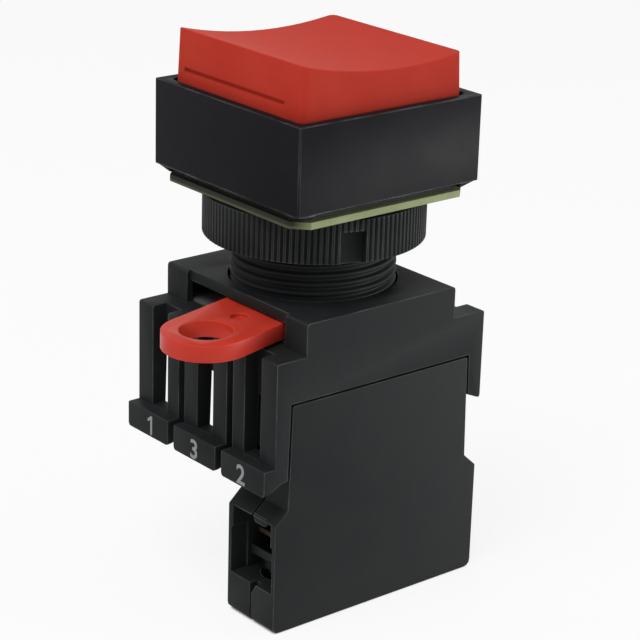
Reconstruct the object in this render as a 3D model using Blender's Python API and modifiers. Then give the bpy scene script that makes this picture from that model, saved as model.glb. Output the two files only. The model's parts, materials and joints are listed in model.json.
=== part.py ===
"""Panel pushbutton switch: square cap and bezel, threaded barrel with ring nut,
mounting adaptor with locking lever and latch fingers, and one contact block.

Units in this file are millimetres; MM turns them into metres.
The origin is on the barrel axis at the panel face, under the gasket. +Z is towards the user.
-Y is the wide face beside the contact block, -X is the side of the lever and the numbered tabs.
"""
import math

import bmesh
import bpy
from mathutils import Matrix

MM = 0.001
GAP = 0.3                      # clearance between neighbouring pieces
MERGE = 0.00001                # metres, for welding seams of turned meshes

# Head
HEAD_OVERHANG = 4.0            # the head covers the panel hole by this much on each side
BEZEL_HEIGHT = 11.45
BEZEL_RIM = 1.4
BEZEL_CORNER = 0.2
FLANGE_INSET = 1.2
FLANGE_THICK = 2.9
FLANGE_SHOWN = 0.75            # how far the flange stands out below the bezel
CORNER_CUT = 2.0               # cut corners of the flange and the gasket
GASKET_INSET = 0.6             # gasket edge inside the bezel's edge
GASKET_THICK = 0.9

# Cap
CAP_SKIRT = 4.0                # part of the cap that sits inside the bezel
CAP_PROUD = 7.0                # height of the cap's high edge over the bezel
CAP_DRAFT = 0.35               # each side leans in by this much over the cap's height
CAP_CORNER = 1.0
CAP_WALL = 1.5
CAP_EDGE = 0.4
SCOOP_RADIUS = 62.0
SCOOP_CENTRE_X = 3.3
SCOOP_LOW = 4.7                # lowest line of the scoop over the bezel
GROOVE_LENGTH = 20.6
GROOVE_HEIGHT = 0.6
GROOVE_DEPTH = 0.45
GROOVE_RISE = 1.65             # groove centre over the bezel
GROOVE_CENTRE_Y = 0.8

# Barrel, plunger and nut
BARREL_RADIUS = 11.0
NECK_STEP = 2.1
NECK_WALL = 1.1
LUG_REACH = 0.8
LUG_THICK = 0.85
LUG_ANGLE = 26.0
SEAL_WIDTH = 1.3
SEAL_THICK = 1.2
PLUNGER_WALL = 1.8
PLUNGER_HEAD = 1.8
PLUNGER_LIP = 0.6              # under the clip's groove
CLIP_THICK = 0.7
CLIP_REACH = 0.9
CLIP_MOUTH = 70.0
NUT_OVERHANG = 0.35            # the nut reaches just past the gasket's flats
NUT_HEIGHT = 6.15
NUT_TEETH = 120
NUT_TOOTH_DEPTH = 0.3
NUT_CHAMFER_WIDE = 1.3
NUT_CHAMFER_HIGH = 0.5
NOTCH_WIDTH = 3.5
NOTCH_DEPTH = 1.7
NOTCH_HEIGHT = 4.7
NOTCH_ANGLE = -109.6
TRAVEL = 3.2                   # full push of the button

# Adaptor and lever
ADAPTOR_TOP = -12.15
ADAPTOR_STEP = 4.4             # height of the narrow upper box
ADAPTOR_SKIRT = 5.85           # height of the wide lower part
BOX_LATCH_EXTRA = 0.8          # the upper box reaches further on the lever's side
ADAPTOR_WALL = 1.45
ADAPTOR_END_WALL = 0.9
WEB_INSET = 2.15               # wall between the posts, set back from their faces
POSITION_PITCH = 10.0
FINGER_THICK = 1.95
POST_WIDTH = 2.85
SLOT_WIDTH = 3.4
TAB_GAP = 1.3                  # clear width between two tabs and their legs
FINGER_LENGTH = 8.3
PLAIN_FINGER_LENGTH = 6.7
PLAIN_FINGER_RISE = 0.95       # its underside rises by this much towards the block
TAB_HEIGHT = 3.55
TAB_PROUD = 1.75
TAB_CORNER = 0.6
TAB_UNDERCUT = 1.35            # the tab's underside rises by this much to the finger
NIB = 0.6
NIB_HEIGHT = 0.7
NIB_HALF = 4.0                 # half the width of a pair of latch nibs
LEVER_THICK = 2.25
LEVER_RING = 0.9
LEVER_ANGLE = -166.0
LEVER_SWING = 28.0
LEVER_WIDTH = 11.6
LEVER_REACH = 22.2
LEVER_HOLE = 3.5
DIMPLE_RADIUS = 1.2
DIMPLE_REACH = 15.5
LEVER_SLOT_HALF = 10.45
SLOT_SET_BACK = 0.6            # the side over the lever's slot lies behind its two cheeks
RETAINER_THICK = 1.2

# Pusher and contact block
PUSHER_THICK = 1.4
PUSHER_HALF = 4.2
FOOT_SIDE = 3.4
FOOT_LENGTH = 1.3
BLOCK_THICK = 9.7
BLOCK_HALF = 15.3
FOOT_STEP = 2.05               # the lower part is this much wider on each side
NECK_DRAFT = 0.4               # the neck narrows by this much on each side to its top
BLOCK_HEIGHT = 31.35
NECK_SHARE = 0.456            # shares of the block's height
FLOOR_SHARE = 0.177
SLIDER_SHARE = 0.343
WINDOW_TOP_SHARE = 0.081
WINDOW_SHARE = 0.178
SHOULDER = 1.85
BLOCK_CORNER = 1.0
SHELL_WALL = 0.9
TROUGH_DEPTH = 2.0
TROUGH_HALF = 8.5
ROOF = 1.2
CHAMBER_HALF = 7.6
PARTITION = 1.1
TONGUE_WIDTH = 2.6             # rounded tongue over each wire opening
TONGUE_DROP = 0.85
TONGUE_THICK = 1.1
MOUTH_RELIEF = 0.35            # the lower part of each wire opening is wider by this on each side
MOUTH_DEPTH = 2.5
MOUTH_SHARE = 0.68
SILL_NOTCH = 0.9
SILL_NOTCH_DEEP = 1.6
SLIDER_X = 2.6
WINDOW_HALF_Y = 1.9
STEM_SIDE = 3.6
BRIDGE_HALF = 7.0
BRIDGE_WIDTH = 3.2
BRIDGE_THICK = 0.6
TIP_RADIUS = 1.1
TIP_HEIGHT = 0.6
TIP_X = 5.4
CONTACT_GAP = 2.8              # a little less than the travel, the pressure spring takes the rest
STRIP_THICK = 0.8
STRIP_WIDTH = 4.8
STRIP_START = 3.8
WIRE_SPACE = 2.05              # from the clamp plate up to the strip
STRIP_END = 14.2
SCREW_X = 12.0
SCREW_RADIUS = 1.5
SCREW_HEAD = 2.6
SCREW_HEAD_HIGH = 1.9
SCREW_TAIL = 0.9
CLAMP_SIDE = 6.0
CLAMP_THICK = 1.0

# Springs: a wire is given by its radius, a coil by its mean radius
RETURN_WIRE = 0.45
RETURN_TURNS = 5
RETURN_CLEAR = 0.95            # from the coil to the inside of the cap
CONTACT_COIL = 1.7
CONTACT_WIRE = 0.22
CONTACT_TURNS = 8
PRESSURE_COIL = 1.15
PRESSURE_WIRE = 0.18
PRESSURE_TURNS = 5
SPRING_SEAT = 1.2              # depth of the slider's seat for its return spring

# Levels worked out from the sizes above
flange_low = GASKET_THICK + GAP
flange_top = flange_low + FLANGE_THICK
bezel_low = flange_low + FLANGE_SHOWN
bezel_top = bezel_low + BEZEL_HEIGHT
head_half = BARREL_RADIUS + HEAD_OVERHANG
flange_half = head_half - FLANGE_INSET
neck_radius = BARREL_RADIUS - NECK_STEP
barrel_bore = neck_radius - NECK_WALL
gasket_half = head_half - GASKET_INSET
nut_radius = gasket_half + NUT_OVERHANG
rim_half = head_half - BEZEL_RIM
cap_half = rim_half - GAP
cap_low = bezel_top - CAP_SKIRT
cap_top = bezel_top + CAP_PROUD
scoop_low = bezel_top + SCOOP_LOW
cap_roof = scoop_low - CAP_WALL - GAP
cap_inner = cap_half - CAP_WALL
step_level = ADAPTOR_TOP - ADAPTOR_STEP
skirt_low = step_level - ADAPTOR_SKIRT
top_inside = ADAPTOR_TOP - ADAPTOR_WALL
lever_top = top_inside - GAP
lever_low = lever_top - LEVER_THICK
lug_top = lever_low - GAP
barrel_low = lug_top - LUG_THICK
clip_top = barrel_low - GAP
clip_low = clip_top - CLIP_THICK
plunger_low = clip_low - GAP - PLUNGER_LIP
pusher_top = plunger_low - GAP
pusher_low = pusher_top - PUSHER_THICK
foot_low = pusher_low - FOOT_LENGTH
adaptor_half_y = POSITION_PITCH + BLOCK_THICK / 2
finger_inner = BLOCK_HALF + GAP
finger_outer = finger_inner + FINGER_THICK
web_face = finger_outer - WEB_INSET
block_foot_half = BLOCK_HALF + FOOT_STEP
block_neck = NECK_SHARE * BLOCK_HEIGHT
floor_thick = FLOOR_SHARE * BLOCK_HEIGHT
tab_top = skirt_low - FINGER_LENGTH
tab_low = tab_top - TAB_HEIGHT
plain_low = skirt_low - PLAIN_FINGER_LENGTH
latch_nib_low = tab_low + TAB_UNDERCUT + 1.1
plain_nib_low = plain_low + PLAIN_FINGER_RISE + 0.95
lug_radius = neck_radius + LUG_REACH
ring_outer = lug_radius + GAP + LEVER_RING
box_plain_side = ring_outer + GAP + ADAPTOR_END_WALL
box_latch_side = box_plain_side + BOX_LATCH_EXTRA
block_y = -POSITION_PITCH
block_top = skirt_low - GAP
block_low = block_top - BLOCK_HEIGHT
trough_floor = block_top - TROUGH_DEPTH
chamber_top = trough_floor - ROOF
chamber_low = block_low + floor_thick + GAP
pocket_top = block_top - block_neck - SHOULDER
pocket_low = block_low + floor_thick
slider_top = foot_low - GAP
slider_shoulder = chamber_top - GAP
slider_low = slider_shoulder - SLIDER_SHARE * BLOCK_HEIGHT
window_top = slider_shoulder - WINDOW_TOP_SHARE * BLOCK_HEIGHT
window_low = window_top - WINDOW_SHARE * BLOCK_HEIGHT
bridge_low = window_low + GAP
bridge_top = bridge_low + BRIDGE_THICK
tip_low = bridge_low - TIP_HEIGHT
fixed_tip_top = tip_low - CONTACT_GAP
arm_top = fixed_tip_top - TIP_HEIGHT
strip_outer = CHAMBER_HALF - GAP
screw_head_low = pocket_low + GAP
screw_head_top = screw_head_low + SCREW_HEAD_HIGH
clamp_low = screw_head_top + GAP
clamp_top = clamp_low + CLAMP_THICK
terminal_low = clamp_top + WIRE_SPACE
terminal_top = terminal_low + STRIP_THICK
inner_y = BLOCK_THICK / 2 - SHELL_WALL
mouth_step = pocket_low + MOUTH_SHARE * (pocket_top - pocket_low)


def neck_half(z):
    """Half width of the contact block's neck at the level z."""
    return BLOCK_HALF - NECK_DRAFT * max(0.0, 1 - (block_top - z) / block_neck)


def clear_scene():
    for item in list(bpy.data.objects):
        bpy.data.objects.remove(item, do_unlink=True)


clear_scene()
PARTS = bpy.data.collections.new("pushbutton_switch")
TOOLS = bpy.data.collections.new("cutters_and_guides")
bpy.context.scene.collection.children.link(PARTS)
bpy.context.scene.collection.children.link(TOOLS)


# Outlines, in the plane of the piece


def arc(centre, radius, start, end, steps):
    """Points on an arc, angles in degrees."""
    points = []
    for i in range(steps + 1):
        a = math.radians(start + (end - start) * i / steps)
        points.append((centre[0] + radius * math.cos(a), centre[1] + radius * math.sin(a)))
    return points


def circle(radius, steps, centre=(0.0, 0.0)):
    return arc(centre, radius, 0.0, 360.0, steps)[:-1]


def rounded_rect(half_u, half_v, radius, steps=3):
    points = []
    for k, (su, sv) in enumerate(((1, 1), (-1, 1), (-1, -1), (1, -1))):
        centre = (su * (half_u - radius), sv * (half_v - radius))
        points += arc(centre, radius, 90.0 * k, 90.0 * k + 90.0, steps)
    return points


def cut_corner_rect(half, cut):
    near = half - cut
    return [(half, near), (near, half), (-near, half), (-half, near),
            (-half, -near), (-near, -half), (near, -half), (half, -near)]


def rect(u0, u1, v0, v1):
    return [(u0, v0), (u1, v0), (u1, v1), (u0, v1)]


def soften(corners, steps=3):
    """Rounds the corners of an outline; each corner is (u, v, radius)."""
    points = []
    count = len(corners)
    for i, (u, v, radius) in enumerate(corners):
        if radius == 0:
            points.append((u, v))
            continue
        before, after = corners[i - 1], corners[(i + 1) % count]
        to_before = (before[0] - u, before[1] - v)
        to_after = (after[0] - u, after[1] - v)
        len_b, len_a = math.hypot(*to_before), math.hypot(*to_after)
        unit_b = (to_before[0] / len_b, to_before[1] / len_b)
        unit_a = (to_after[0] / len_a, to_after[1] / len_a)
        half = math.acos(max(-1.0, min(1.0, unit_b[0] * unit_a[0] + unit_b[1] * unit_a[1]))) / 2
        reach = min(radius / math.tan(half), 0.45 * len_b, 0.45 * len_a)
        first = (u + unit_b[0] * reach, v + unit_b[1] * reach)
        last = (u + unit_a[0] * reach, v + unit_a[1] * reach)
        for k in range(steps + 1):
            t = k / steps
            points.append(((1 - t) ** 2 * first[0] + 2 * t * (1 - t) * u + t * t * last[0],
                           (1 - t) ** 2 * first[1] + 2 * t * (1 - t) * v + t * t * last[1]))
    return points


def mirrored(points):
    return [(-u, v) for u, v in reversed(points)]


# Solids


PLANES = {
    "XY": Matrix.Identity(4),
    "XZ": Matrix.Rotation(math.pi / 2, 4, "X"),
    "YZ": Matrix(((0, 0, 1, 0), (1, 0, 0, 0), (0, 1, 0, 0), (0, 0, 0, 1))),
}


def new_object(name, mesh):
    item = bpy.data.objects.new(name, mesh)
    PARTS.objects.link(item)
    return item


def mesh_object(name, bm):
    bmesh.ops.recalc_face_normals(bm, faces=bm.faces)
    mesh = bpy.data.meshes.new(name)
    bm.to_mesh(mesh)
    bm.free()
    return new_object(name, mesh)


def curve_to_mesh(name, curve, matrix):
    """Turns a curve into a welded closed mesh, placed by matrix."""
    guide = bpy.data.objects.new(name + "_curve", curve)
    bpy.context.scene.collection.objects.link(guide)
    depsgraph = bpy.context.evaluated_depsgraph_get()
    mesh = bpy.data.meshes.new_from_object(guide.evaluated_get(depsgraph))
    bpy.data.objects.remove(guide, do_unlink=True)
    bm = bmesh.new()
    bm.from_mesh(mesh)
    bmesh.ops.transform(bm, matrix=matrix, verts=bm.verts)
    bmesh.ops.remove_doubles(bm, verts=bm.verts, dist=1e-7)
    return mesh_object(name, bm)


def plate(name, outline, low, high, holes=(), plane="XY"):
    """A flat outline with holes, from low to high along the plane's normal."""
    curve = bpy.data.curves.new(name, "CURVE")
    curve.dimensions = "2D"
    curve.fill_mode = "BOTH"
    curve.extrude = (high - low) / 2 * MM
    for points in (outline, *holes):
        spline = curve.splines.new("POLY")
        spline.points.add(len(points) - 1)
        for point, (u, v) in zip(spline.points, points):
            point.co = (u * MM, v * MM, 0.0, 1.0)
        spline.use_cyclic_u = True
    middle = (low + high) / 2 * MM
    if plane == "XZ":              # this plane's normal points to -Y
        middle = -middle
    return curve_to_mesh(name, curve, PLANES[plane] @ Matrix.Translation((0.0, 0.0, middle)))


def box(name, x, y, z):
    """A box from three (low, high) pairs."""
    bm = bmesh.new()
    bmesh.ops.create_cube(bm, size=1.0)
    for vert in bm.verts:
        for axis, (low, high) in enumerate((x, y, z)):
            vert.co[axis] = (low if vert.co[axis] < 0 else high) * MM
    return mesh_object(name, bm)


def rod(name, radius, low, high, centre=(0.0, 0.0), steps=32):
    """An upright cylinder."""
    bm = bmesh.new()
    bmesh.ops.create_cone(bm, cap_ends=True, segments=steps, radius1=radius * MM,
                          radius2=radius * MM, depth=(high - low) * MM)
    shift = (centre[0] * MM, centre[1] * MM, (low + high) / 2 * MM)
    bmesh.ops.translate(bm, vec=shift, verts=bm.verts)
    return mesh_object(name, bm)


def turned(name, profile, steps=64, closed=True):
    """A turned piece: profile is (radius, z), down the outer side from the top."""
    mesh = bpy.data.meshes.new(name)
    verts = [(r * MM, 0.0, z * MM) for r, z in profile]
    edges = [(i, i + 1) for i in range(len(verts) - 1)]
    if closed:
        edges.append((len(verts) - 1, 0))
    mesh.from_pydata(verts, edges, [])
    item = new_object(name, mesh)
    screw = item.modifiers.new("turn", "SCREW")
    screw.axis = "Z"
    screw.steps = steps
    screw.render_steps = steps
    screw.use_merge_vertices = True
    screw.merge_threshold = MERGE
    return item


def helix(name, radius, wire, turns, low, high, centre=(0.0, 0.0), per_turn=14):
    """A compression spring with closed end turns, between low and high."""
    curve = bpy.data.curves.new(name, "CURVE")
    curve.dimensions = "3D"
    curve.bevel_depth = wire * MM
    curve.bevel_resolution = 2
    curve.use_fill_caps = True
    spline = curve.splines.new("POLY")
    count = int(turns * per_turn) + 1
    spline.points.add(count - 1)
    first, last = low + wire, high - wire
    end_turn = 0.75
    pitch_low = 2.4 * wire
    for i, point in enumerate(spline.points):
        turn = i / per_turn
        rise = min(turn, end_turn) * pitch_low
        rise_end = min(turns - turn, end_turn) * pitch_low
        if turn <= end_turn:
            z = first + rise
        elif turns - turn <= end_turn:
            z = last - rise_end
        else:
            t = (turn - end_turn) / (turns - 2 * end_turn)
            z = first + end_turn * pitch_low + t * (last - first - 2 * end_turn * pitch_low)
        a = 2 * math.pi * turn
        point.co = ((centre[0] + radius * math.cos(a)) * MM,
                    (centre[1] + radius * math.sin(a)) * MM, z * MM, 1.0)
    return curve_to_mesh(name, curve, Matrix.Identity(4))


def as_tool(item):
    for collection in list(item.users_collection):
        collection.objects.unlink(item)
    TOOLS.objects.link(item)
    item.hide_render = True
    item.display_type = "WIRE"


def combine(target, operation, tools):
    for tool in tools:
        as_tool(tool)
        step = target.modifiers.new(tool.name, "BOOLEAN")
        step.operation = operation
        step.solver = "EXACT"
        step.object = tool
    return target


def cut(target, *tools):
    return combine(target, "DIFFERENCE", tools)


def fuse(target, *tools):
    return combine(target, "UNION", tools)


def bevel(item, width, segments=2, angle=40.0):
    step = item.modifiers.new("edges", "BEVEL")
    step.width = width * MM
    step.segments = segments
    step.limit_method = "ANGLE"
    step.angle_limit = math.radians(angle)
    return item


def place(item, x, y):
    """Moves a piece built on the Z axis, so that its origin stays on its own axis."""
    item.location = (x * MM, y * MM, 0.0)
    return item


FINISHES = {
    "red_cap": ((0.48, 0.045, 0.03), 0.42, 0.0),
    "red_lever": ((0.55, 0.05, 0.03), 0.35, 0.0),
    "black_plastic": ((0.018, 0.019, 0.019), 0.5, 0.0),
    "grey_plastic": ((0.16, 0.16, 0.15), 0.5, 0.0),
    "white_plastic": ((0.6, 0.6, 0.57), 0.5, 0.0),
    "olive_rubber": ((0.3, 0.33, 0.18), 0.8, 0.0),
    "black_rubber": ((0.02, 0.02, 0.02), 0.85, 0.0),
    "spring_steel": ((0.42, 0.43, 0.44), 0.3, 1.0),
    "contact_brass": ((0.62, 0.46, 0.2), 0.3, 1.0),
    "plated_steel": ((0.5, 0.51, 0.52), 0.32, 1.0),
}


def finish(item, kind):
    """Gives the piece a material of its own and smooth shading over round faces."""
    colour, rough, metallic = FINISHES[kind]
    material = bpy.data.materials.new(item.name + "_" + kind)
    material.use_nodes = True
    shader = material.node_tree.nodes["Principled BSDF"]
    shader.inputs["Base Color"].default_value = (*colour, 1.0)
    shader.inputs["Roughness"].default_value = rough
    shader.inputs["Metallic"].default_value = metallic
    material.diffuse_color = (*colour, 1.0)
    item.data.materials.append(material)
    item.data.shade_smooth()
    item.data.set_sharp_from_angle(angle=math.radians(35.0))
    return item


# Head: cap, bezel, operator body, gasket and nut


def make_push_cap():
    cap = plate("push_cap", rounded_rect(cap_half, cap_half, CAP_CORNER), cap_low, cap_top)
    lean = (cap_half - CAP_DRAFT) / cap_half
    for vert in cap.data.vertices:
        if vert.co.z > (cap_low + cap_top) / 2 * MM:
            vert.co.x *= lean
            vert.co.y *= lean
    reach = cap_half + 2.0
    centre_z = scoop_low + SCOOP_RADIUS
    half_angle = math.degrees(math.asin((reach + SCOOP_CENTRE_X) / SCOOP_RADIUS))
    scoop_arc = arc((SCOOP_CENTRE_X, centre_z), SCOOP_RADIUS, -90 - half_angle, -90 + half_angle, 18)
    above = cap_top + 5.0
    scoop = plate("cap_scoop", scoop_arc + [(scoop_arc[-1][0], above), (scoop_arc[0][0], above)],
                  -reach, reach, plane="XZ")
    cut(cap, scoop)
    bevel(cap, CAP_EDGE, 2, 50.0)
    hollow = plate("cap_hollow", rounded_rect(cap_inner, cap_inner, CAP_CORNER), cap_low - 1.0, cap_roof)
    groove_z = bezel_top + GROOVE_RISE
    side = cap_half - GROOVE_DEPTH - CAP_DRAFT / 2
    groove = box("cap_groove", (-cap_half - 1.0, -side),
                 (GROOVE_CENTRE_Y - GROOVE_LENGTH / 2, GROOVE_CENTRE_Y + GROOVE_LENGTH / 2),
                 (groove_z - GROOVE_HEIGHT / 2, groove_z + GROOVE_HEIGHT / 2))
    cut(cap, hollow, groove)
    return finish(cap, "red_cap")


def make_plunger():
    outer = barrel_bore - GAP
    bore = outer - PLUNGER_WALL
    head_top = cap_roof - GAP
    head_low = head_top - PLUNGER_HEAD
    groove = outer - CLIP_REACH
    stem = turned("plunger", [
        (outer, head_top - PLUNGER_HEAD / 2), (outer, clip_top + GAP), (groove, clip_top + GAP),
        (groove, clip_low - GAP), (outer, clip_low - GAP), (outer, plunger_low),
        (bore, plunger_low), (bore, head_low - 0.5), (0.0, head_low - 0.5), (0.0, head_top - PLUNGER_HEAD / 2)],
        steps=48, closed=False)
    head_half_side = cap_inner - GAP
    head = plate("plunger_head", rounded_rect(head_half_side, head_half_side, CAP_CORNER), head_low, head_top)
    fuse(stem, head)
    return finish(stem, "white_plastic")


def make_plunger_clip():
    groove = barrel_bore - GAP - CLIP_REACH
    inner, outer = groove + GAP, barrel_bore + CLIP_REACH
    half_mouth = CLIP_MOUTH / 2
    ring = arc((0, 0), outer, half_mouth, 360 - half_mouth, 40)
    ring += arc((0, 0), inner, 360 - half_mouth, half_mouth, 40)
    return finish(plate("plunger_clip", ring, clip_low, clip_top), "spring_steel")


def make_plunger_seal():
    inner = barrel_bore
    low = flange_top - SEAL_THICK
    seal = turned("plunger_seal", [
        (inner + SEAL_WIDTH, flange_top - 0.2), (inner + SEAL_WIDTH, low),
        (inner, low), (inner, flange_top - 0.2)], steps=48)
    return finish(seal, "black_rubber")


def make_return_spring():
    coil = cap_inner - RETURN_CLEAR - RETURN_WIRE
    head_low = cap_roof - GAP - PLUNGER_HEAD
    spring = helix("return_spring", coil, RETURN_WIRE, RETURN_TURNS, flange_top + GAP, head_low - GAP,
                   per_turn=18)
    return finish(spring, "spring_steel")


def make_bezel():
    outer = rounded_rect(head_half, head_half, BEZEL_CORNER, 2)
    inner = rounded_rect(rim_half, rim_half, CAP_CORNER, 2)
    bezel = plate("bezel", outer, bezel_low, bezel_top, holes=[inner])
    seat_half = flange_half + GAP
    seat = box("bezel_seat", (-seat_half, seat_half), (-seat_half, seat_half),
               (bezel_low - 1.0, flange_top + GAP))
    cut(bezel, seat)
    return finish(bezel, "black_plastic")


def make_operator_body():
    seal_seat = barrel_bore + SEAL_WIDTH + GAP
    seal_floor = flange_top - SEAL_THICK - GAP
    neck_top = top_inside
    body = turned("operator_body", [
        (BARREL_RADIUS, flange_low + FLANGE_THICK / 2), (BARREL_RADIUS, neck_top),
        (neck_radius, neck_top), (neck_radius, barrel_low), (barrel_bore, barrel_low),
        (barrel_bore, flange_low + FLANGE_THICK / 2)], steps=64)
    flange = plate("flange", cut_corner_rect(flange_half, CORNER_CUT), flange_low, flange_top,
                   holes=[circle(barrel_bore + 0.5, 64)])
    fuse(body, flange)
    seat = rod("seal_seat", seal_seat, seal_floor, flange_top + 1.0, steps=64)
    bore = rod("barrel_bore", barrel_bore, barrel_low - 1.0, flange_top + 1.0, steps=64)
    cut(body, seat, bore)
    for k, middle in enumerate((90.0, 270.0)):
        sector = arc((0, 0), lug_radius, middle - LUG_ANGLE / 2, middle + LUG_ANGLE / 2, 8)
        sector += arc((0, 0), neck_radius - 0.5, middle + LUG_ANGLE / 2, middle - LUG_ANGLE / 2, 8)
        fuse(body, plate(f"lug_{k}", sector, barrel_low, lug_top))
    return finish(body, "black_plastic")


def make_panel_gasket():
    gasket = plate("panel_gasket", cut_corner_rect(gasket_half, CORNER_CUT), 0.0, GASKET_THICK,
                   holes=[circle(BARREL_RADIUS + GAP, 64)])
    return finish(gasket, "olive_rubber")


def make_ring_nut():
    top = -GAP
    low = top - NUT_HEIGHT
    teeth = []
    for k in range(NUT_TEETH):
        step = 360.0 / NUT_TEETH
        teeth += arc((0, 0), nut_radius, k * step - 0.2 * step, k * step + 0.2 * step, 1)
        teeth += arc((0, 0), nut_radius - NUT_TOOTH_DEPTH, (k + 0.5) * step, (k + 0.5) * step, 1)[:1]
    nut = plate("ring_nut", teeth, low, top, holes=[circle(BARREL_RADIUS + GAP, 64)])
    chamfer = turned("nut_chamfer", [
        (nut_radius + 2.0, low + NUT_CHAMFER_HIGH), (nut_radius + 2.0, low - 1.0),
        (nut_radius - NUT_CHAMFER_WIDE, low - 1.0), (nut_radius - NUT_CHAMFER_WIDE, low),
        (nut_radius, low + NUT_CHAMFER_HIGH)], steps=72)
    cut(nut, chamfer)
    for k in range(2):
        notch = box(f"nut_notch_{k}", (nut_radius - NOTCH_DEPTH, nut_radius + 2.0),
                    (-NOTCH_WIDTH / 2, NOTCH_WIDTH / 2), (low - 1.0, low + NOTCH_HEIGHT))
        notch.rotation_euler.z = math.radians(NOTCH_ANGLE + 180.0 * k)
        cut(nut, notch)
    return finish(nut, "black_plastic")


# Mounting adaptor with its latch fingers, lever and retainer


def adaptor_side(reach, leg):
    """One side of the adaptor seen along Y, from its top down to the block and back in."""
    return [(reach, ADAPTOR_TOP, 0.5), (reach, step_level, 0), (finger_outer, step_level, 0.35),
            *leg, (neck_half(block_top) + GAP, skirt_low, 0)]


def adaptor_outline():
    rise = plain_low + PLAIN_FINGER_RISE
    plain_leg = [(finger_outer, plain_low, 0.35), (neck_half(rise) + GAP, rise, 0)]
    front = finger_outer + TAB_PROUD
    under = tab_low + TAB_UNDERCUT
    latch_leg = [(finger_outer, tab_top, 0), (front, tab_top, 0.2), (front, tab_low, 0.15),
                 (front - 0.4, tab_low, 0.2), (front - 2 * TAB_UNDERCUT, under, 1.0),
                 (neck_half(under) + GAP, under + 0.15, 0)]
    plain = adaptor_side(box_plain_side, plain_leg)
    latch = [(-x, z, r) for x, z, r in adaptor_side(box_latch_side, latch_leg)]
    return soften(plain + latch[::-1])


def latch_nib(name, side, level, middle):
    """Wedge on the inner face of a pair of legs, that snaps into the block's groove."""
    face = neck_half(level) + GAP
    outline = [(side * x, z) for x, z in (
        (face + 0.5, level - 0.6), (face - NIB, level), (face - NIB, level + NIB_HEIGHT),
        (face + 0.5, level + NIB_HEIGHT + 0.6))]
    return plate(name, outline, middle - NIB_HALF, middle + NIB_HALF, plane="XZ")


def tab_side_tool(name, edge, far, top):
    """Cuts what lies beyond a tab's edge, from edge to far, and rounds the tab's lower corner."""
    way = 1 if far > edge else -1
    centre = (edge - way * TAB_CORNER, tab_low + TAB_CORNER)
    corner = arc(centre, TAB_CORNER, 0.0 if way > 0 else 180.0, -90.0 if way > 0 else 270.0, 4)
    bottom = tab_low - 1.0
    outline = [(edge + way * 0.1, top) if top < tab_top else (edge, top), *corner,
               (centre[0], bottom), (far, bottom), (far, top)]
    reach = finger_outer + TAB_PROUD + 1.0
    return plate(name, outline, -reach, -(finger_inner - NIB - 0.5), plane="YZ")


def comb_tool(name, side, low, near, far):
    """Cuts the space between two legs, past the latch nibs and down to the level low."""
    nib_clear = finger_inner - NECK_DRAFT - NIB - 0.3
    reach = finger_outer + TAB_PROUD + 1.0
    under = skirt_low - 0.5
    outline = [(side * x, z) for x, z in (
        (web_face, step_level + 1.0), (reach, step_level + 1.0), (reach, low), (nib_clear, low),
        (nib_clear, under), (web_face, under))]
    return plate(name, outline, near, far, plane="XZ")


def make_mounting_adaptor():
    outer = adaptor_half_y
    body = plate("mounting_adaptor", adaptor_outline(), -outer, outer, plane="XZ")
    group_half = SLOT_WIDTH / 2 + POST_WIDTH
    bottom = tab_low - 1.0
    for k in (-1, 0, 1):
        middle = k * POSITION_PITCH
        near, far = middle - SLOT_WIDTH / 2, middle + SLOT_WIDTH / 2
        fuse(body, latch_nib(f"plain_nib_{k + 2}", 1, plain_nib_low, middle),
             latch_nib(f"latch_nib_{k + 2}", -1, latch_nib_low, middle))
        cut(body, comb_tool(f"plain_slot_{k + 2}", 1, bottom, near, far),
            comb_tool(f"latch_slot_{k + 2}", -1, tab_top + 0.1, near, far))
    for k in (-1, 1):
        edges = sorted((k * group_half, k * (group_half + TAB_GAP)))
        cut(body, comb_tool(f"plain_gap_{k + 2}", 1, bottom, *edges),
            comb_tool(f"latch_gap_{k + 2}", -1, bottom, *edges))
        corner_top = tab_low + TAB_CORNER + 0.3
        gap_middle = sum(edges) / 2
        cut(body, tab_side_tool(f"tab_end_{k + 2}", k * outer, k * (outer + 1.0), corner_top),
            tab_side_tool(f"tab_corner_{k + 2}_low", edges[0], gap_middle, corner_top),
            tab_side_tool(f"tab_corner_{k + 2}_high", edges[1], gap_middle, corner_top))
    inner_y_half = outer - ADAPTOR_WALL
    upper = box("upper_cavity", (-box_latch_side + ADAPTOR_END_WALL, box_plain_side - ADAPTOR_END_WALL),
                (-inner_y_half, inner_y_half), (skirt_low - 1.0, top_inside))
    lower_half = web_face - ADAPTOR_END_WALL
    lower = box("lower_cavity", (-lower_half, lower_half), (-inner_y_half, inner_y_half),
                (skirt_low - 1.0, step_level - ADAPTOR_WALL))
    hole = rod("adaptor_hole", BARREL_RADIUS + GAP, top_inside - 1.0, ADAPTOR_TOP + 1.0, steps=64)
    slot = box("lever_slot", (-box_latch_side - 1.0, -box_latch_side + ADAPTOR_END_WALL + 0.5),
               (-LEVER_SLOT_HALF, LEVER_SLOT_HALF), (step_level, top_inside))
    set_back = box("slot_set_back", (-box_latch_side - 1.0, -box_latch_side + SLOT_SET_BACK),
                   (-LEVER_SLOT_HALF, LEVER_SLOT_HALF), (step_level, ADAPTOR_TOP + 1.0))
    cut(body, upper, lower, hole, slot, set_back)
    return finish(body, "black_plastic")


def ring_hole():
    """Hole of the lever's ring, with two teeth that catch the barrel's lugs at rest."""
    half = LUG_ANGLE / 2
    points = []
    for k in (0, 1):
        middle = 90.0 + 180.0 * k - LEVER_ANGLE
        points += arc((0, 0), neck_radius + GAP, middle - half, middle + half, 6)
        points += arc((0, 0), lug_radius + GAP, middle + half + 1.0, middle + 179.0 - half, 22)
    return points


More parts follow.
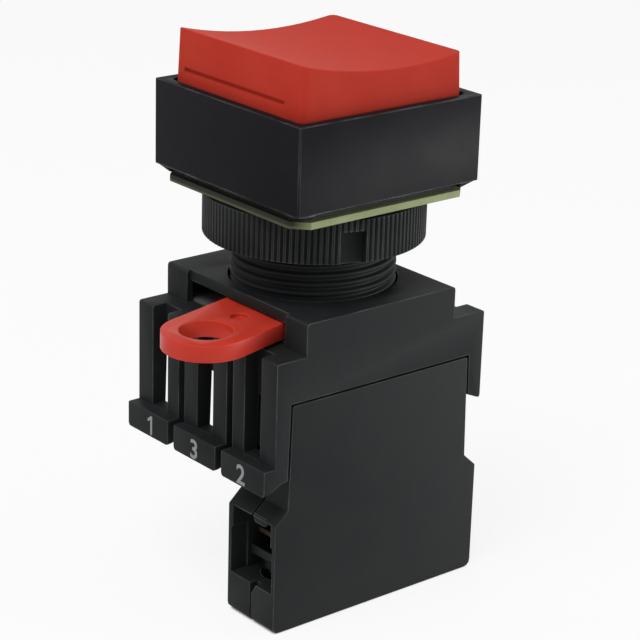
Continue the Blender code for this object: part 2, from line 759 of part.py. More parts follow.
def make_lock_lever():
    half = LEVER_WIDTH / 2
    root = math.sqrt(ring_outer ** 2 - half ** 2)
    root_angle = math.degrees(math.atan2(half, root))
    outline = arc((LEVER_REACH, 0.0), half, -90.0, 90.0, 16)
    outline += arc((0.0, 0.0), ring_outer, root_angle, 360.0 - root_angle, 44)
    lever = plate("lock_lever", outline, lever_low, lever_top,
                  holes=[ring_hole(), circle(LEVER_HOLE, 28, (LEVER_REACH, 0.0))])
    dimple = rod("lever_dimple", DIMPLE_RADIUS, lever_top - 0.5, lever_top + 1.0, (DIMPLE_REACH, 0.0), 16)
    cut(lever, dimple)
    turn = Matrix.Rotation(math.radians(LEVER_ANGLE), 4, "Z")
    lever.matrix_world = turn
    dimple.matrix_world = turn
    return finish(lever, "red_lever")


def make_lever_retainer():
    latch_x = box_latch_side - ADAPTOR_END_WALL - GAP
    plain_x = box_plain_side - ADAPTOR_END_WALL - GAP
    half_y = adaptor_half_y - ADAPTOR_WALL - GAP
    retainer = plate("lever_retainer", rect(-latch_x, plain_x, -half_y, half_y),
                     lug_top - RETAINER_THICK, lug_top, holes=[circle(lug_radius + GAP, 56)])
    return finish(retainer, "grey_plastic")


def make_pusher_plate():
    half_y = adaptor_half_y - ADAPTOR_WALL - GAP
    pusher = plate("pusher_plate", rounded_rect(PUSHER_HALF, half_y, 1.0), pusher_low, pusher_top)
    half = FOOT_SIDE / 2
    for k in (-1, 0, 1):
        middle = k * POSITION_PITCH
        fuse(pusher, box(f"pusher_foot_{k + 2}", (-half, half), (middle - half, middle + half),
                         (foot_low, pusher_low + 0.4)))
    return finish(pusher, "white_plastic")


# Contact block


def block_outline():
    neck = block_top - block_neck
    side = [(neck_half(block_top), block_top, 0.3), (BLOCK_HALF, neck, 0.3), (block_foot_half, neck - SHOULDER, 0.3),
            (block_foot_half, block_low, BLOCK_CORNER)]
    return soften([(-x, z, r) for x, z, r in side] + side[::-1])


def half_shell(name, y_low, y_high, back_open):
    """One half of the contact block, hollowed by the spaces that both halves share."""
    shell = plate(name, block_outline(), y_low, y_high, plane="XZ")
    y0, y1 = block_y - inner_y, block_y + inner_y
    trough_far = y1 + 3.0 if back_open else y1
    stem = STEM_SIDE / 2 + GAP
    cuts = [
        box(name + "_chamber", (-CHAMBER_HALF, CHAMBER_HALF), (y0, y1), (chamber_low, chamber_top)),
        box(name + "_trough", (-TROUGH_HALF, TROUGH_HALF), (y0, trough_far), (trough_floor, block_top + 1.0)),
        box(name + "_stem_hole", (-stem, stem), (block_y - stem, block_y + stem),
            (chamber_top - 0.5, trough_floor + 0.5)),
    ]
    strip_half = STRIP_WIDTH / 2 + GAP
    for side, word, level in ((-1, "left", latch_nib_low), (1, "right", plain_nib_low)):
        cuts.append(box(f"{name}_pocket_{word}", sorted((side * (CHAMBER_HALF + PARTITION),
                                                         side * (block_foot_half + 1.0))),
                        (y0, y1), (pocket_low, pocket_top)))
        cuts.append(box(f"{name}_strip_slot_{word}", sorted((side * (CHAMBER_HALF - 0.5),
                                                             side * (CHAMBER_HALF + PARTITION + 0.5))),
                        (block_y - strip_half, block_y + strip_half),
                        (terminal_low - GAP, terminal_top + GAP)))
        cuts.append(rod(f"{name}_driver_hole_{word}", SCREW_HEAD + GAP, block_low - 1.0, pocket_low + 0.5,
                        (side * SCREW_X, block_y), 28))
        cuts.append(box(f"{name}_nib_groove_{word}", sorted((side * (neck_half(level) - NIB),
                                                             side * (BLOCK_HALF + 1.0))),
                        (block_y - NIB_HALF - GAP, block_y + NIB_HALF + GAP),
                        (level - 0.6 - GAP, level + NIB_HEIGHT + 0.6 + GAP)))
        cuts.append(box(f"{name}_mouth_{word}", sorted((side * (block_foot_half - MOUTH_DEPTH),
                                                        side * (block_foot_half + 1.0))),
                        (y0 - MOUTH_RELIEF, y1 + MOUTH_RELIEF), (pocket_low, mouth_step)))
    cut(shell, *cuts)
    return shell


def wire_tongue(side, word, edge):
    """Rounded tongue that hangs from the top of a wire opening, beside the parting line."""
    low, high = pocket_top - TONGUE_DROP, pocket_top + 0.4
    far = edge - TONGUE_WIDTH
    outline = soften([(edge, high, 0), (far, high, 0), (far, low, 0.8), (edge, low, 0.8)], 4)
    faces = sorted((side * (block_foot_half - 0.25 - TONGUE_THICK), side * (block_foot_half - 0.25)))
    return plate(f"wire_tongue_{word}", outline, *faces, plane="YZ")


def sill_notch(side, word, edge):
    """Small notch in the sill of a wire opening, where the halves meet."""
    outline = [(edge + 0.5, pocket_low + 0.5), (edge - SILL_NOTCH - 0.3, pocket_low + 0.5),
               (edge + 0.1, pocket_low - SILL_NOTCH_DEEP), (edge + 0.5, pocket_low - SILL_NOTCH_DEEP)]
    faces = sorted((side * (block_foot_half - 1.0), side * (block_foot_half + 1.0)))
    return plate(f"sill_notch_{word}", outline, *faces, plane="YZ")


def make_contact_shells():
    half = BLOCK_THICK / 2
    edge = block_y - GAP / 2
    cover = half_shell("contact_cover", block_y - half, edge, False)
    for side, word in ((-1, "left"), (1, "right")):
        fuse(cover, wire_tongue(side, word, edge))
        cut(cover, sill_notch(side, word, edge))
    finish(cover, "black_plastic")
    finish(half_shell("contact_housing", block_y + GAP / 2, block_y + half, True), "black_plastic")


def make_contact_slider():
    half_stem = STEM_SIDE / 2
    half_y = inner_y - GAP
    slider = box("contact_slider", (-SLIDER_X, SLIDER_X), (block_y - half_y, block_y + half_y),
                 (slider_low, slider_shoulder))
    stem = box("slider_stem", (-half_stem, half_stem), (block_y - half_stem, block_y + half_stem),
               (slider_shoulder - 0.5, slider_top))
    window = box("slider_window", (-SLIDER_X - 1.0, SLIDER_X + 1.0),
                 (block_y - WINDOW_HALF_Y, block_y + WINDOW_HALF_Y), (window_low, window_top))
    seat = rod("slider_spring_seat", CONTACT_COIL + CONTACT_WIRE + GAP, slider_low - 1.0,
               slider_low + SPRING_SEAT, (0.0, block_y), 24)
    fuse(slider, stem)
    cut(slider, window, seat)
    return finish(slider, "white_plastic")


def make_contact_spring():
    spring = helix("contact_spring", CONTACT_COIL, CONTACT_WIRE, CONTACT_TURNS, chamber_low + GAP,
                   slider_low + SPRING_SEAT - GAP, (0.0, block_y))
    return finish(spring, "spring_steel")


def make_pressure_spring():
    spring = helix("pressure_spring", PRESSURE_COIL, PRESSURE_WIRE, PRESSURE_TURNS, bridge_top + GAP,
                   window_top - GAP, (0.0, block_y))
    return finish(spring, "spring_steel")


def make_bridge_contact():
    half = BRIDGE_WIDTH / 2
    bridge = box("bridge_contact", (-BRIDGE_HALF, BRIDGE_HALF), (block_y - half, block_y + half),
                 (bridge_low, bridge_top))
    for side, word in ((-1, "left"), (1, "right")):
        fuse(bridge, rod(f"bridge_tip_{word}", TIP_RADIUS, tip_low, bridge_low + BRIDGE_THICK / 2,
                         (side * TIP_X, block_y), 20))
    return finish(bridge, "contact_brass")


def make_fixed_contact(side, word):
    arm_low = arm_top - STRIP_THICK
    leg_inner = strip_outer - STRIP_THICK
    outline = soften([
        (STRIP_START, arm_top, 0), (STRIP_START, arm_low, 0), (leg_inner, arm_low, 0.2),
        (leg_inner, terminal_low, 0.9), (STRIP_END, terminal_low, 0.2), (STRIP_END, terminal_top, 0.2),
        (strip_outer, terminal_top, 0.2), (strip_outer, arm_top, 0.9)])
    if side < 0:
        outline = mirrored(outline)
    half = STRIP_WIDTH / 2
    strip = plate(f"fixed_contact_{word}", outline, block_y - half, block_y + half, plane="XZ")
    tip = rod(f"fixed_tip_{word}", TIP_RADIUS, arm_top - STRIP_THICK / 2, fixed_tip_top,
              (side * TIP_X, block_y), 20)
    hole = rod(f"terminal_hole_{word}", SCREW_RADIUS + GAP, terminal_low - 1.0, terminal_top + 1.0,
               (side * SCREW_X, block_y), 24)
    fuse(strip, tip)
    cut(strip, hole)
    return finish(strip, "contact_brass")


def make_clamp_plate(side, word):
    half = CLAMP_SIDE / 2
    ridge = 0.35
    outline = soften([(-half, clamp_low, 0.2), (half, clamp_low, 0.2), (half, clamp_top + ridge, 0.15),
                      (half - 0.6, clamp_top + ridge, 0.15), (half - 0.9, clamp_top, 0),
                      (-half + 0.9, clamp_top, 0), (-half + 0.6, clamp_top + ridge, 0.15),
                      (-half, clamp_top + ridge, 0.15)])
    clamp = plate(f"clamp_plate_{word}", outline, -half, half, plane="XZ")
    hole = rod(f"clamp_hole_{word}", SCREW_RADIUS + GAP, clamp_low - 1.0, clamp_top + 1.0, steps=24)
    cut(clamp, hole)
    place(clamp, side * SCREW_X, block_y)
    place(hole, side * SCREW_X, block_y)
    return finish(clamp, "plated_steel")


def make_terminal_screw(side, word):
    end = terminal_top + SCREW_TAIL
    screw = turned(f"terminal_screw_{word}", [
        (0.0, end), (SCREW_RADIUS - 0.3, end), (SCREW_RADIUS, end - 0.4), (SCREW_RADIUS, screw_head_top),
        (SCREW_HEAD, screw_head_top), (SCREW_HEAD, screw_head_low + 0.5), (SCREW_HEAD - 0.5, screw_head_low),
        (0.0, screw_head_low)], steps=28, closed=False)
    slot = box(f"screw_slot_{word}", (-SCREW_HEAD - 1.0, SCREW_HEAD + 1.0), (-0.4, 0.4),
               (screw_head_low - 1.0, screw_head_low + 0.9))
    cut(screw, slot)
    place(screw, side * SCREW_X, block_y)
    place(slot, side * SCREW_X, block_y)
    return finish(screw, "plated_steel")


make_push_cap()
make_plunger()
make_plunger_clip()
make_plunger_seal()
make_return_spring()
make_bezel()
make_operator_body()
make_panel_gasket()
make_ring_nut()
make_mounting_adaptor()
make_lock_lever()
make_lever_retainer()
make_pusher_plate()
make_contact_shells()
make_contact_slider()
make_contact_spring()
make_pressure_spring()
make_bridge_contact()
for side_sign, side_word in ((-1, "left"), (1, "right")):
    make_fixed_contact(side_sign, side_word)
    make_clamp_plate(side_sign, side_word)
    make_terminal_screw(side_sign, side_word)
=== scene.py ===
# %% [markdown]
# # A panel pushbutton switch in Blender
# The engineering model of the switch is ready made: every solid has its real size and place.
# This lesson dresses it: mould-rounded edges, a cut thread, printed position digits, materials
# that follow what each part is made of, and a small studio to look at it in.

# %% Load the solids
import json
import math

import bmesh
import bpy
from mathutils import Matrix, Vector

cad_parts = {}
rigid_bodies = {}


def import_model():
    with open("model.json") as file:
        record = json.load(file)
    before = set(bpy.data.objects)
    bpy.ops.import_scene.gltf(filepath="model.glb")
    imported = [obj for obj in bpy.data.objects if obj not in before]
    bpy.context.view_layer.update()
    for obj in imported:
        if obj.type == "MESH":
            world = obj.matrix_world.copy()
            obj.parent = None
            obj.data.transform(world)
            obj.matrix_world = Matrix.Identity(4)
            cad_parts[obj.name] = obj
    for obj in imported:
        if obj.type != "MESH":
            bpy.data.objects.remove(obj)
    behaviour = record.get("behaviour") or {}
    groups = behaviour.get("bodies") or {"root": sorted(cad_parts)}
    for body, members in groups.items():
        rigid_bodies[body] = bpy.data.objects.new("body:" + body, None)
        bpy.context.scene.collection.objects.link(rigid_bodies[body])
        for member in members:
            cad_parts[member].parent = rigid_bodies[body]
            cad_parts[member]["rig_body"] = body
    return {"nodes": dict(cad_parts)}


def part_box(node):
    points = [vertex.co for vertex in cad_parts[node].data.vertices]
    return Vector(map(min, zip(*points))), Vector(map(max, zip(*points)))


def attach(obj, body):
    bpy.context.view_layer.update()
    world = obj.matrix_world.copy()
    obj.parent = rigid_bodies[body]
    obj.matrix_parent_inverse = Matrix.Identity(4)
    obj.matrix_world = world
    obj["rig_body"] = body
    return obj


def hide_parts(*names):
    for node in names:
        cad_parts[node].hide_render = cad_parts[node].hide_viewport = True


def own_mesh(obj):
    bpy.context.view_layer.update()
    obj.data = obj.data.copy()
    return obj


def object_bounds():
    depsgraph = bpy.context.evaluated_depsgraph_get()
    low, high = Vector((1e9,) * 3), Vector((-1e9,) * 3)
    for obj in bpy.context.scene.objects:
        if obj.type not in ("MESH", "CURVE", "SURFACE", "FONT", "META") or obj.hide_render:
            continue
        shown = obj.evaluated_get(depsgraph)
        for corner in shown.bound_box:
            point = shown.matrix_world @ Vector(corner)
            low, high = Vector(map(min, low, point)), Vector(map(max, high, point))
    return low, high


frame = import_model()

MM = 0.001                     # the frame is in metres, the sizes in the cells below in mm
nodes = frame["nodes"]
body_of = {name: item["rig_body"] for name, item in nodes.items()}
cad_low, cad_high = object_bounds()
size = [round((high - low) / MM, 1) for low, high in zip(cad_low, cad_high)]
print("solids:", len(nodes), "size in mm:", size)

# %% [markdown]
# Blender's shaders work with linear light, and colours are easier to pick as the hex values of a
# screen. One function turns the second into the first. Another adds a shader node, gives it its
# options and values, and links what is given as a socket.

# %% Colours and shader nodes


def linear(hex_colour):
    """An sRGB hex colour as linear red, green, blue and alpha."""
    channels = [int(hex_colour[i:i + 2], 16) / 255 for i in (1, 3, 5)]
    return (*[c / 12.92 if c <= 0.04045 else ((c + 0.055) / 1.055) ** 2.4 for c in channels], 1.0)


def add_node(tree, kind, inputs=None, **options):
    """Adds one node. Inputs are values, or other nodes' output sockets to link."""
    node = tree.nodes.new(kind)
    for name, value in options.items():
        setattr(node, name, value)
    for key, value in (inputs or {}).items():
        if isinstance(value, bpy.types.NodeSocket):
            tree.links.new(value, node.inputs[key])
        else:
            node.inputs[key].default_value = value
    return node


print("grey #808080 in linear light:", round(linear("#808080")[0], 3))

# %% [markdown]
# A few kinds of node come back in every material: a noise, a change of range, a sum, a mix of two
# colours and a bump. Each has a short function that gives its output socket, so that a material
# reads as a list of steps.

# %% Nodes that come back in every material


def noise(tree, where, size, detail):
    """Noise from 0 to 1 whose pattern repeats about every size millimetres."""
    return add_node(tree, "ShaderNodeTexNoise", {"Vector": where, "Scale": 1.0 / (size * MM),
                                                 "Detail": detail}).outputs["Fac"]


def map_range(tree, value, low, high, to_low=0.0, to_high=1.0):
    """Spreads the values from low to high over the span from to_low to to_high."""
    return add_node(tree, "ShaderNodeMapRange", {
        "Value": value, "From Min": low, "From Max": high, "To Min": to_low,
        "To Max": to_high}).outputs["Result"]


def maths(tree, operation, first, second):
    return add_node(tree, "ShaderNodeMath", {0: first, 1: second}, operation=operation).outputs[0]


def mix_colour(tree, share, first, second):
    """The first colour where the share is 0 and the second where it is 1."""
    return add_node(tree, "ShaderNodeMixRGB", {"Fac": share, "Color1": first,
                                               "Color2": second}).outputs["Color"]


def bumps(tree, height, depth):
    """A normal that follows the height, depth millimetres from the lowest place to the highest."""
    return add_node(tree, "ShaderNodeBump", {"Height": height,
                                             "Distance": depth * MM}).outputs["Normal"]


print("the scale of a pattern of 0.2 mm:", round(1.0 / (0.2 * MM)))

# %% [markdown]
# Each material starts from the place on the object and ends in the Principled shader. The place is
# taken in the object's own coordinates, so a pattern stays on its piece when the piece moves.

# %% Start and end of a material


def new_material(name):
    """An empty node material, and the place on the object in metres that its patterns use."""
    material = bpy.data.materials.new(name)
    material.use_nodes = True
    tree = material.node_tree
    tree.nodes.clear()
    return material, tree, add_node(tree, "ShaderNodeTexCoord").outputs["Object"]


def finish_material(tree, inputs):
    """Ends a material with its Principled shader."""
    shader = add_node(tree, "ShaderNodeBsdfPrincipled", inputs)
    add_node(tree, "ShaderNodeOutputMaterial", {"Surface": shader.outputs["BSDF"]})


# %% [markdown]
# Fingers and packaging polish the outer corners of a moulding first, so where the surface turns
# sharply it gets a lighter colour. That lighter colour is also a painted highlight: it stands in
# for the thin line of light that a lamp draws along a rounded edge. The bevel node looks round each
# corner, and its normal differs from the real one only near an edge. It does so in inner corners
# too, which nothing rubs: there the ambient occlusion node finds another wall close by, and takes
# the lighter colour away again. Wear is never even, so a noise thins it out in places.

# %% Worn corners with a painted highlight
WEAR_AND_HIGHLIGHT_WIDTH = 0.3
WEAR_AND_HIGHLIGHT_PATCH = 5.0
NOISE_MIDDLE = (0.35, 0.65)    # most of a noise lies in here
EDGE_TURN = (0.99, 0.8)        # cosine between the two normals, on a flat face and on an edge
EDGE_OPEN = (0.7, 0.95)        # open share of the sky, in an inner corner and on an outer one
WEAR_AND_HIGHLIGHT_SHARE = (0.15, 1.0)        # least and most wear and painted highlight


def worn_and_highlighted_edge(tree, where):
    """1 on rubbed outer corners, which also get a painted highlight, 0 on flat faces and in inner
    corners.
    """
    round_corner = add_node(tree, "ShaderNodeBevel", {"Radius": WEAR_AND_HIGHLIGHT_WIDTH * MM}, samples=6)
    flat = add_node(tree, "ShaderNodeNewGeometry")
    turn = add_node(tree, "ShaderNodeVectorMath", {
        0: round_corner.outputs["Normal"], 1: flat.outputs["Normal"]}, operation="DOT_PRODUCT")
    near_wall = add_node(tree, "ShaderNodeAmbientOcclusion", {"Distance": 2 * WEAR_AND_HIGHLIGHT_WIDTH * MM},
                         samples=6)
    sharp = map_range(tree, turn.outputs["Value"], *EDGE_TURN)
    outside = map_range(tree, near_wall.outputs["AO"], *EDGE_OPEN)
    worn_and_highlighted = map_range(tree, noise(tree, where, WEAR_AND_HIGHLIGHT_PATCH, 3.0), *NOISE_MIDDLE, *WEAR_AND_HIGHLIGHT_SHARE)
    return maths(tree, "MULTIPLY", maths(tree, "MULTIPLY", sharp, outside), worn_and_highlighted)


print("corners are worn over a width in mm of", WEAR_AND_HIGHLIGHT_WIDTH)

# %% [markdown]
# Most of the switch is injection moulded. The steel mould is spark eroded, which leaves a fine
# matte grain on the plastic, and the plastic's colour drifts a little where it cooled unevenly.
# Both come from noise: a coarse one moves the colour between two near shades and the gloss up and
# down, and a fine one drives a bump. The real grain is about 0.05 mm, finer than a pixel of the
# picture, so it is drawn at 0.2 mm, the finest that still shows.

# %% A moulded plastic
GRAIN = 0.2
FLOW = 6.0
GLOSS_NOISE = (0.3, 0.7)
GLOSS_DRIFT = (-0.04, 0.05)    # how far the roughness drifts down and up


def moulded(name, hex_main, hex_drift, roughness, grain_depth, constant, grain=GRAIN, rub_and_highlight=None):
    """A moulded plastic. constant holds shader values that are the same all over, rub_and_highlight
    is the colour of its rubbed corners, which is also a painted highlight."""
    material, tree, where = new_material(name)
    flow = noise(tree, where, FLOW, 4.0)
    colour = mix_colour(tree, map_range(tree, flow, *NOISE_MIDDLE), linear(hex_main),
                        linear(hex_drift))
    gloss = map_range(tree, flow, *GLOSS_NOISE, *(roughness + drift for drift in GLOSS_DRIFT))
    # the corners' lighter colour is wear and also a painted highlight
    if rub_and_highlight:
        colour = mix_colour(tree, worn_and_highlighted_edge(tree, where), colour, linear(rub_and_highlight))
    bump = bumps(tree, noise(tree, where, grain, 2.0), grain_depth)
    finish_material(tree, {"Base Color": colour, "Roughness": gloss, "Normal": bump, **constant})
    return material


print("grain and flow in mm:", GRAIN, FLOW)

# %% [markdown]
# The black parts are glass-filled nylon: hard, charcoal rather than pure black, with a soft broad
# sheen. The bezel is ABS, a little smoother and darker, and its corners are rubbed lighter and
# carry a strong painted highlight. Both are ordinary plastics with an IOR near 1.5, and the
# specular level tones the mirror part down, since a moulded grain breaks it up. The square cap is a
# dense red polycarbonate with a satin face, which lets a little light in under its surface, so it
# gets a short subsurface distance. The lever is acetal, more glossy and more see-through than the
# cap.

# %% The plastics of the switch
# the rub colours lighten the outer corners: wear, and also a painted highlight, strongest on the
# bezel
black_nylon = moulded("glass_filled_nylon_charcoal", "#1d1f20", "#222324", 0.55, 0.02,
                      {"IOR": 1.5, "Specular IOR Level": 0.09}, rub_and_highlight="#666868")
black_abs = moulded("abs_black_satin", "#141417", "#18181b", 0.5, 0.012,
                    {"IOR": 1.5, "Specular IOR Level": 0.055}, rub_and_highlight="#c2c3c4")
red_cap = moulded("polycarbonate_red_satin", "#b9372a", "#bd3c2e", 0.5, 0.006,
                  {"IOR": 1.55, "Specular IOR Level": 0.015, "Subsurface Weight": 0.15,
                   "Subsurface Scale": 0.8 * MM, "Subsurface Radius": (1.0, 0.3, 0.2)}, grain=0.35)
red_lever = moulded("acetal_red_satin", "#c23627", "#c93c2c", 0.36, 0.008,
                    {"IOR": 1.48, "Specular IOR Level": 0.18, "Subsurface Weight": 0.3,
                     "Subsurface Scale": 1.2 * MM, "Subsurface Radius": (1.0, 0.3, 0.2)}, grain=0.5)
white_acetal = moulded("acetal_off_white", "#cfccc2", "#d8d6cd", 0.35, 0.006,
                       {"IOR": 1.48, "Subsurface Weight": 0.2, "Subsurface Scale": 1.0 * MM},
                       grain=0.5)
grey_nylon = moulded("nylon_grey", "#5c5d5c", "#666766", 0.48, 0.012, {"IOR": 1.5})
print("black plastics:", black_nylon.name, black_abs.name)

# %% [markdown]
# Rubber scatters light almost evenly, so it is rough with little sheen. The gasket is an olive
# sheet, punched out, and its colour is speckled by the chalk that keeps sheets from sticking. The
# ink of the numbers is a thin, dull grey film. All three are mixed like the plastics, since noise
# in colour, gloss and height suits them too.

# %% Rubber and printing ink
olive_rubber = moulded("nitrile_sheet_olive", "#8c966c", "#9ba47a", 0.75, 0.03,
                       {"IOR": 1.5, "Specular IOR Level": 0.25}, grain=0.6)
black_rubber = moulded("nitrile_black", "#161616", "#1d1d1d", 0.7, 0.02, {"IOR": 1.5}, grain=0.4)
pad_ink = moulded("pad_print_ink_grey", "#8f9494", "#7b8080", 0.6, 0.01, {"IOR": 1.5}, grain=0.15)
print("materials so far:", len(bpy.data.materials))

# %% [markdown]
# The gasket's edge on the lever's side is darkened, a little less so along its lowest line. Two
# ramps, one across the sheet and one up its edge, say how much of the dark colour is mixed in ahead
# of the shader.

# %% The darkened edge of the gasket
DARK_EDGE_REACH = (0.4, 2.2)       # from the edge to where the darkening starts to fade and ends
DARK_EDGE_RISE = (0.2, 0.45)       # over the lowest line, where it gets darker
DARK_EDGE_SHARE = (0.8, 0.98)      # of the dark colour, at the lowest line and above
DARK_EDGE_COLOUR = "#1e1e1a"

gasket_place = nodes["panel_gasket"].matrix_world.translation
low_x, _, low_z = Vector(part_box("panel_gasket")[0]) - gasket_place
tree = olive_rubber.node_tree
shader = next(node for node in tree.nodes if node.type == "BSDF_PRINCIPLED")
undarkened_colour = shader.inputs["Base Color"].links[0].from_socket
where = add_node(tree, "ShaderNodeTexCoord").outputs["Object"]
axes = add_node(tree, "ShaderNodeSeparateXYZ", {"Vector": where}).outputs
near_edge = map_range(tree, axes["X"], *(low_x + reach * MM for reach in DARK_EDGE_REACH), 1.0, 0.0)
darker_above = map_range(tree, axes["Z"], *(low_z + rise * MM for rise in DARK_EDGE_RISE), *DARK_EDGE_SHARE)
# darkens the gasket's colour near its edge on the lever's side, more above its lowest line than
# along it
dark_edge = maths(tree, "MULTIPLY", near_edge, darker_above)
tree.links.new(mix_colour(tree, dark_edge, undarkened_colour, linear(DARK_EDGE_COLOUR)), shader.inputs["Base Color"])
print("smear starts at x, z in mm:", round(low_x / MM, 2), round(low_z / MM, 2))

# %% [markdown]
# The metal parts are hidden inside or show only through the wire openings: drawn spring wire, brass
# strip gone brown with tarnish and darkened further as painted shade of the openings, and steel
# clamps with a dark passivated zinc plating.
# Drawing and rolling leave fine lines, so the colour, the roughness and a very shallow bump follow
# a noise that is scaled differently along each axis.

# %% Metals
DRAW_LINE = 0.25
DRAW_DEPTH = 0.004
DRAW_GLOSS = (-0.08, 0.12)     # how far the roughness drifts down and up


def metal(name, hex_colour, hex_worn, roughness, line_scale):
    """A drawn or rolled metal. Its lines are long on the axes where line_scale is below 1."""
    material, tree, where = new_material(name)
    along = add_node(tree, "ShaderNodeMapping", {"Vector": where, "Scale": line_scale})
    lines = noise(tree, along.outputs["Vector"], DRAW_LINE, 2.0)
    finish_material(tree, {
        "Base Color": mix_colour(tree, lines, linear(hex_colour), linear(hex_worn)),
        "Metallic": 1.0,
        "Roughness": map_range(tree, lines, 0.0, 1.0, *(roughness + drift for drift in DRAW_GLOSS)),
        "Normal": bumps(tree, lines, DRAW_DEPTH)})
    return material


spring_wire = metal("spring_steel_drawn", "#b9babc", "#a5a6a8", 0.28, (1.0, 1.0, 6.0))
# the brass is darker than tarnish alone makes it: painted shade of the wire openings
brass_tarnish_and_shade = metal("brass_tarnished_painted_shade", "#463c2a", "#3a3224", 0.5, (0.2, 1.0, 1.0))
dark_steel = metal("steel_dark_passivated", "#2f3031", "#262728", 0.48, (1.0, 1.0, 0.2))
print("materials made:", len(bpy.data.materials))

# %% [markdown]
# A finer mesh may take the place of a solid. It then moves with that solid's body and gets its
# material, the solid is hidden, and one function does this for all of them. Another copies a
# solid's mesh and merges the triangles of each flat face, because a bevel needs whole faces.

# %% Stand-ins and clean copies
WELD = 0.001


def stand_in(name, mesh, material, node):
    """An object that takes the place of a solid and moves with its body."""
    piece = bpy.data.objects.new(name, mesh)
    bpy.context.scene.collection.objects.link(piece)
    mesh.materials.clear()
    mesh.materials.append(material)
    mesh.shade_smooth()
    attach(piece, body_of[node])
    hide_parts(node)
    return piece


def clean_copy(node, name, flat=1.0):
    """A copy of a solid's mesh, welded, with the triangles of each flat face merged."""
    mesh = nodes[node].data.copy()
    mesh.name = name
    bm = bmesh.new()
    bm.from_mesh(mesh)
    bmesh.ops.remove_doubles(bm, verts=bm.verts, dist=WELD * MM)
    bmesh.ops.dissolve_limit(bm, angle_limit=math.radians(flat), verts=bm.verts, edges=bm.edges)
    bm.to_mesh(mesh)
    bm.free()
    return mesh


print("solids to copy from:", len(nodes))

# %% [markdown]
# Solids from an engineering model have knife edges, and a mould never makes one. The bezel, the
# nut, the adaptor, the contact block's shells and the lever are copied, and a small bevel rounds
# every sharp edge: those thin highlights tell the eye how big the part is. The bevel is a
# modifier, so the mesh under it stays plain.

# %% Copies with mould-rounded edges
SHARP_ANGLE = 32.0             # in degrees, edges that turn by more than this are rounded


def rounded_copy(node, name, material, slot, radius, segments):
    """A copy of a solid with every sharp edge rounded, in the solid's place."""
    piece = stand_in(name, clean_copy(node, name), material, node)
    edge = piece.modifiers.new("mould_edge", "BEVEL")
    edge.width = radius * MM
    edge.segments = segments
    edge.limit_method = "ANGLE"
    edge.angle_limit = math.radians(SHARP_ANGLE)
    edge.harden_normals = True
    return piece


ROUNDED = {                    # the solid, its copy's name, material, slot, radius, segments
    "bezel": ("bezel_moulding", black_abs, "black_plastic", 0.18, 3),
    "ring_nut": ("ring_nut_moulding", black_nylon, "black_plastic", 0.05, 2),
    "mounting_adaptor": ("adaptor_moulding", black_nylon, "black_plastic", 0.15, 3),
    "contact_cover": ("contact_cover_moulding", black_nylon, "black_plastic", 0.15, 3),
    "contact_housing": ("contact_housing_moulding", black_nylon, "black_plastic", 0.15, 3),
    "lock_lever": ("lever_moulding", red_lever, "red_lever", 0.3, 3),
}
rounded = {node: rounded_copy(node, *row) for node, row in ROUNDED.items()}
print("rounded copies:", len(rounded))

# %% [markdown]
# The flange under the bezel has its corners cut off, and seen from straight above, the bezel's
# opening would show daylight there. The real moulding has a small web in each corner of the
# opening, just over the flange. Each is a triangular prism, added to the bezel's own mesh.

# %% Corner webs of the bezel
CORNERS = ((1, 1), (-1, 1), (-1, -1), (1, -1))
CAP_CLEARANCE = 0.3            # from the cap's skirt to the bezel's opening
WEB_LEG = 3.4
WEB_THICK = 0.5
WEB_INTO_WALL = 0.4
WEB_OVER_FLANGE = 0.35

web_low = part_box("operator_body")[1][2] + WEB_OVER_FLANGE * MM
web_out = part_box("push_cap")[1][0] + CAP_CLEARANCE * MM + WEB_INTO_WALL * MM
web_in = web_out - WEB_LEG * MM
web = ((web_out, web_out), (web_in, web_out), (web_out, web_in))

bezel_mesh = rounded["bezel"].data
bm = bmesh.new()
bm.from_mesh(bezel_mesh)
for sx, sy in CORNERS:
    face = bm.faces.new([bm.verts.new((sx * x, sy * y, web_low)) for x, y in web])
    grown = bmesh.ops.extrude_face_region(bm, geom=[face])
    top = [v for v in grown["geom"] if isinstance(v, bmesh.types.BMVert)]
    bmesh.ops.translate(bm, verts=top, vec=(0.0, 0.0, WEB_THICK * MM))
bm.to_mesh(bezel_mesh)
bm.free()
print("webs start at z in mm:", round(web_low / MM, 2))

# %% [markdown]
# Below the bezel, a wedge slants in from each of its square corners to the cut corner of the
# gasket. Seven points are all that a wedge needs, since it is their convex hull. After the last of
# them, the normals of the bezel's whole mesh are turned outwards.

# %% Wedges under the bezel's corners
WEDGE_LENGTH = 3.0
WEDGE_BACK = 0.05              # its upper corner lies this far behind the bezel's faces
WEDGE_INTO_BEZEL = 0.15
WEDGE_OVER_GASKET = 0.3
GASKET_CUT = 2.0

bezel_low, bezel_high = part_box("bezel")
gasket_half, _, gasket_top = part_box("panel_gasket")[1]
gasket_cut = gasket_half - GASKET_CUT * MM
wedge_low = gasket_top + WEDGE_OVER_GASKET * MM
wedge_top = bezel_low[2] + WEDGE_INTO_BEZEL * MM
wedge_out = bezel_high[0] - WEDGE_BACK * MM
wedge_in = wedge_out - WEDGE_LENGTH * MM
wedge = ((wedge_out, wedge_out, wedge_top), (wedge_in, wedge_out, wedge_top),
         (wedge_out, wedge_in, wedge_top), (wedge_in, wedge_in, wedge_top),
         (gasket_cut, gasket_half, wedge_low), (gasket_half, gasket_cut, wedge_low),
         (gasket_cut, gasket_cut, wedge_low))

